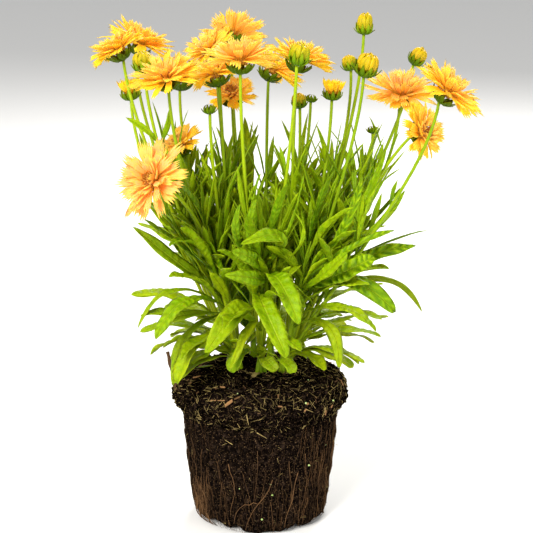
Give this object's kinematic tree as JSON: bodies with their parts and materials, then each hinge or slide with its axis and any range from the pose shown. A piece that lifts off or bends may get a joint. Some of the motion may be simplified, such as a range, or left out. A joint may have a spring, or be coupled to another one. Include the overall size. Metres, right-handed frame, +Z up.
{
  "type": "coreopsis plant with root ball",
  "caption": "Flowering garden perennial lifted out of its pot: upright leafy shoots with toothed double flowers and buds on bare stalks, growing from a moulded root ball it stands on.",
  "frame": {"origin": "middle of the root ball's flat underside", "axes": "+Z up along the plant, -Y towards the front, +X to the right of the front view"},
  "size_m": [0.2689, 0.2299, 0.3753],
  "materials": {
    "soil": "matte crumbly potting soil bound by tan roots",
    "leaf_green": "satin leaf with a waxy sheen",
    "petal_peach": "soft matte petal, peach towards the middle and yellow at the teeth",
    "bud_yellow": "soft matte folded petals, yellow and green-gold"
  },
  "bodies": {
    "root": {"root_ball": "soil", "shoot_front": "leaf_green", "shoot_front_right": "leaf_green", "shoot_right": "leaf_green", "shoot_back_right": "leaf_green", "shoot_right_back": "leaf_green", "shoot_back": "leaf_green", "shoot_back_left": "leaf_green", "shoot_left": "leaf_green", "shoot_front_left": "leaf_green", "bloom_far_left": "petal_peach", "bloom_left_top": "petal_peach", "bloom_left_low": "petal_peach", "bloom_left_back": "petal_peach", "bloom_middle_rear": "petal_peach", "bloom_middle_left": "petal_peach", "bloom_top_back": "petal_peach", "bloom_middle_front": "petal_peach", "bloom_middle_right": "petal_peach", "bloom_right_inner": "petal_peach", "bloom_back_low": "petal_peach", "bloom_front_left": "petal_peach", "bloom_left_inner": "petal_peach", "bloom_right": "petal_peach", "bloom_far_right": "petal_peach", "bloom_right_low": "petal_peach", "bud_left_front": "bud_yellow", "bud_left_low": "bud_yellow", "bud_front_right": "bud_yellow", "bud_top": "bud_yellow", "bud_right_front": "bud_yellow", "bud_right_back": "bud_yellow", "bud_far_right": "bud_yellow", "bud_inner_right": "bud_yellow", "bud_inner_back": "bud_yellow"}
  },
  "joints": []
}
